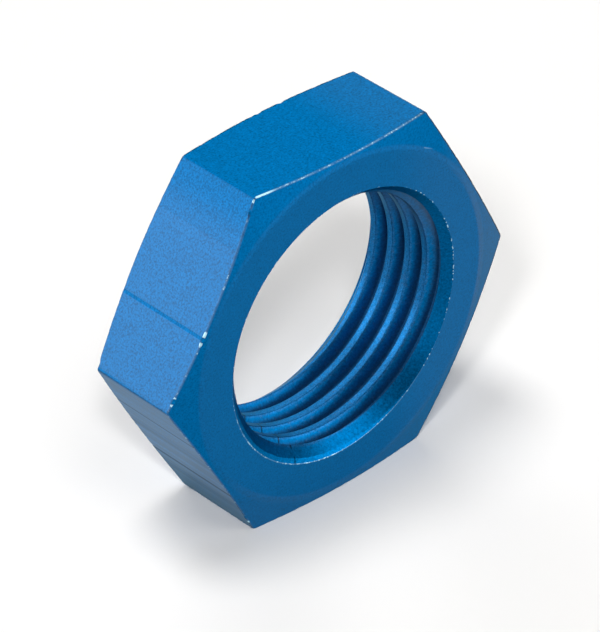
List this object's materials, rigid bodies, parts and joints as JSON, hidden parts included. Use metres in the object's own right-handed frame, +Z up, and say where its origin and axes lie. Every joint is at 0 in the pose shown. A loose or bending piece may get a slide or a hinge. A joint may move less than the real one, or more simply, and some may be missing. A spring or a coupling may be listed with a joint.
{
  "type": "bulkhead nut",
  "caption": "Thin hexagonal bulkhead nut in blue anodised aluminium, chamfered on both faces, with a countersunk fine right-hand thread.",
  "frame": {"origin": "middle of the hexagon flat that the nut stands on, halfway between its two faces", "axes": "+Z up, thread axis along Y at half the width across flats, front face towards -Y, two hexagon corners on the X sides"},
  "size_m": [0.0292, 0.0076, 0.0254],
  "materials": {
    "anodised_aluminium": "satin blue anodised"
  },
  "bodies": {
    "root": {"nut": "anodised_aluminium"}
  },
  "joints": []
}
